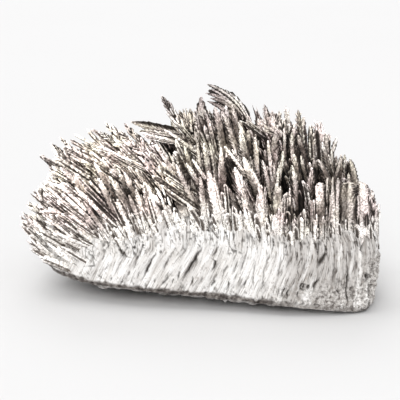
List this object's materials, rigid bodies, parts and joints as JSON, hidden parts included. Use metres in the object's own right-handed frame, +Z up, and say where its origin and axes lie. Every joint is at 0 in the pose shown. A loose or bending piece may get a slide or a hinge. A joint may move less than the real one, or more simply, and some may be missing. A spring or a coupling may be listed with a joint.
{
  "type": "magnesite crystal specimen",
  "caption": "Natural mineral cluster: a forest of feathery pointed crystals on a thick chalky-white fibrous mass, resting on the flat patch of its underside.",
  "frame": {"origin": "middle of the specimen's bounding box in plan, on the plane that it rests on", "axes": "+X along the longest side, +Y away from the tall white face, +Z up"},
  "size_m": [0.1236, 0.0711, 0.0722],
  "materials": {
    "crystal_mineral": "dull, chalky white wall and grey-pink crystals"
  },
  "bodies": {
    "root": {"crystal_cluster": "crystal_mineral"}
  },
  "joints": []
}
